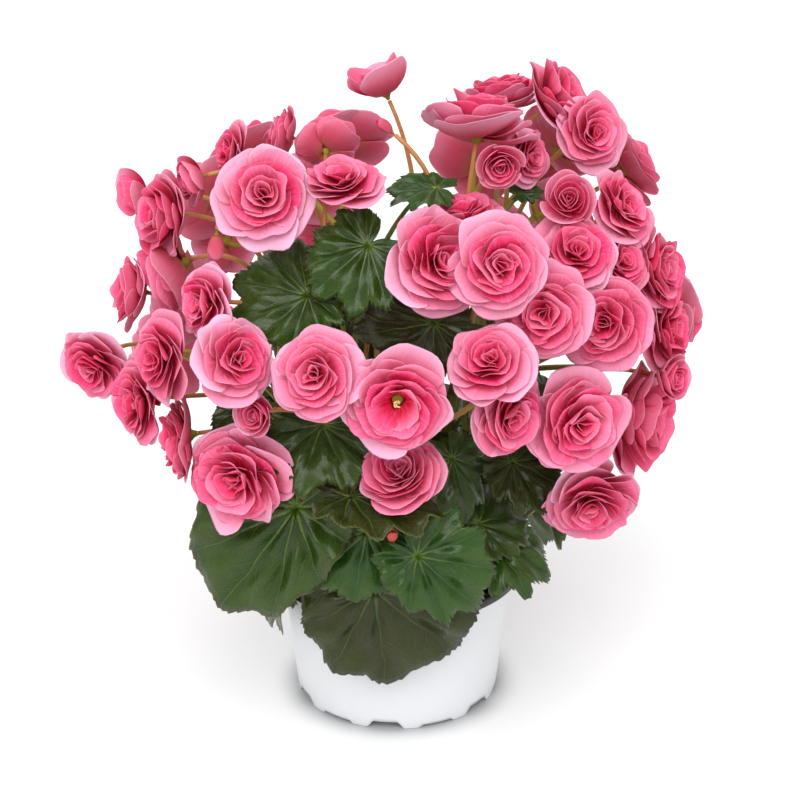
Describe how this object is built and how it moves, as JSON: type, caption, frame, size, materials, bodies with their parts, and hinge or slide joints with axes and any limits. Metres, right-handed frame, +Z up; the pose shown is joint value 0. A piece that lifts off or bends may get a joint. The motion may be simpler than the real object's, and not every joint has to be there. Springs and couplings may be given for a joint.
{
  "type": "potted flowering plant",
  "caption": "Potted begonia with double pink rose-like flowers in a dome over lopsided toothed green leaves, in a low round white plastic pot with a dark rim.",
  "frame": {"origin": "centre of the pot's flat base, on the surface it stands on", "axes": "+Z up; the side seen in the picture faces -Y; +X is to the viewer's right"},
  "size_m": [0.3228, 0.2725, 0.3284],
  "materials": {
    "pot": "smooth white plastic, black inside and at the rim",
    "soil": "dark moist potting soil",
    "foliage": "glossy dark green blades and paler stalks",
    "petal": "soft pink petals",
    "petal_outer": "soft dusky pink petals",
    "petal_half": "half-open rose pink petals",
    "petal_bud": "closed coral bud"
  },
  "bodies": {
    "root": {"pot": "pot", "soil": "soil", "leafy_stem_left": "foliage", "leafy_stem_front": "foliage", "leafy_stem_right": "foliage", "leafy_stem_back_left": "foliage", "leafy_stem_back_right": "foliage", "bloom_12": "petal", "bloom_18": "petal", "bloom_20": "petal", "bloom_23": "petal", "bloom_21": "petal", "bloom_26": "petal", "bloom_29": "petal", "bloom_27": "petal", "bloom_31": "petal_outer", "bloom_32": "petal_outer", "bloom_28": "petal_outer", "bloom_22": "petal_outer", "bloom_30": "petal_outer", "bloom_25": "petal", "bloom_19": "petal_half", "bloom_34": "petal_half", "bloom_33": "petal_outer", "bloom_35": "petal_outer", "bloom_36": "petal", "bloom_40": "petal_half", "bloom_38": "petal_outer", "bloom_39": "petal_outer", "bloom_37": "petal_outer", "bloom_16": "petal_half", "bloom_17": "petal_bud", "bloom_15": "petal_outer", "bloom_14": "petal_outer", "bloom_13": "petal_outer", "bloom_11": "petal_outer", "bloom_07": "petal_half", "bloom_06": "petal_outer", "bloom_08": "petal_half", "bloom_10": "petal_outer", "bloom_09": "petal_outer", "bloom_24": "petal_bud", "bloom_05": "petal_outer", "bloom_03": "petal", "bloom_02": "petal_outer", "bloom_01": "petal", "bloom_04": "petal_outer", "bloom_48": "petal_outer", "bloom_44": "petal_outer", "bloom_45": "petal_outer", "bloom_46": "petal_half", "bloom_47": "petal_outer", "bloom_42": "petal_outer", "bloom_51": "petal_outer", "spray_back_1": "petal_outer", "spray_back_2": "petal_outer", "spray_back_3": "petal_outer", "spray_back_4": "petal_outer", "spray_back_5": "petal_outer", "spray_back_6": "petal_outer"}
  },
  "joints": []
}
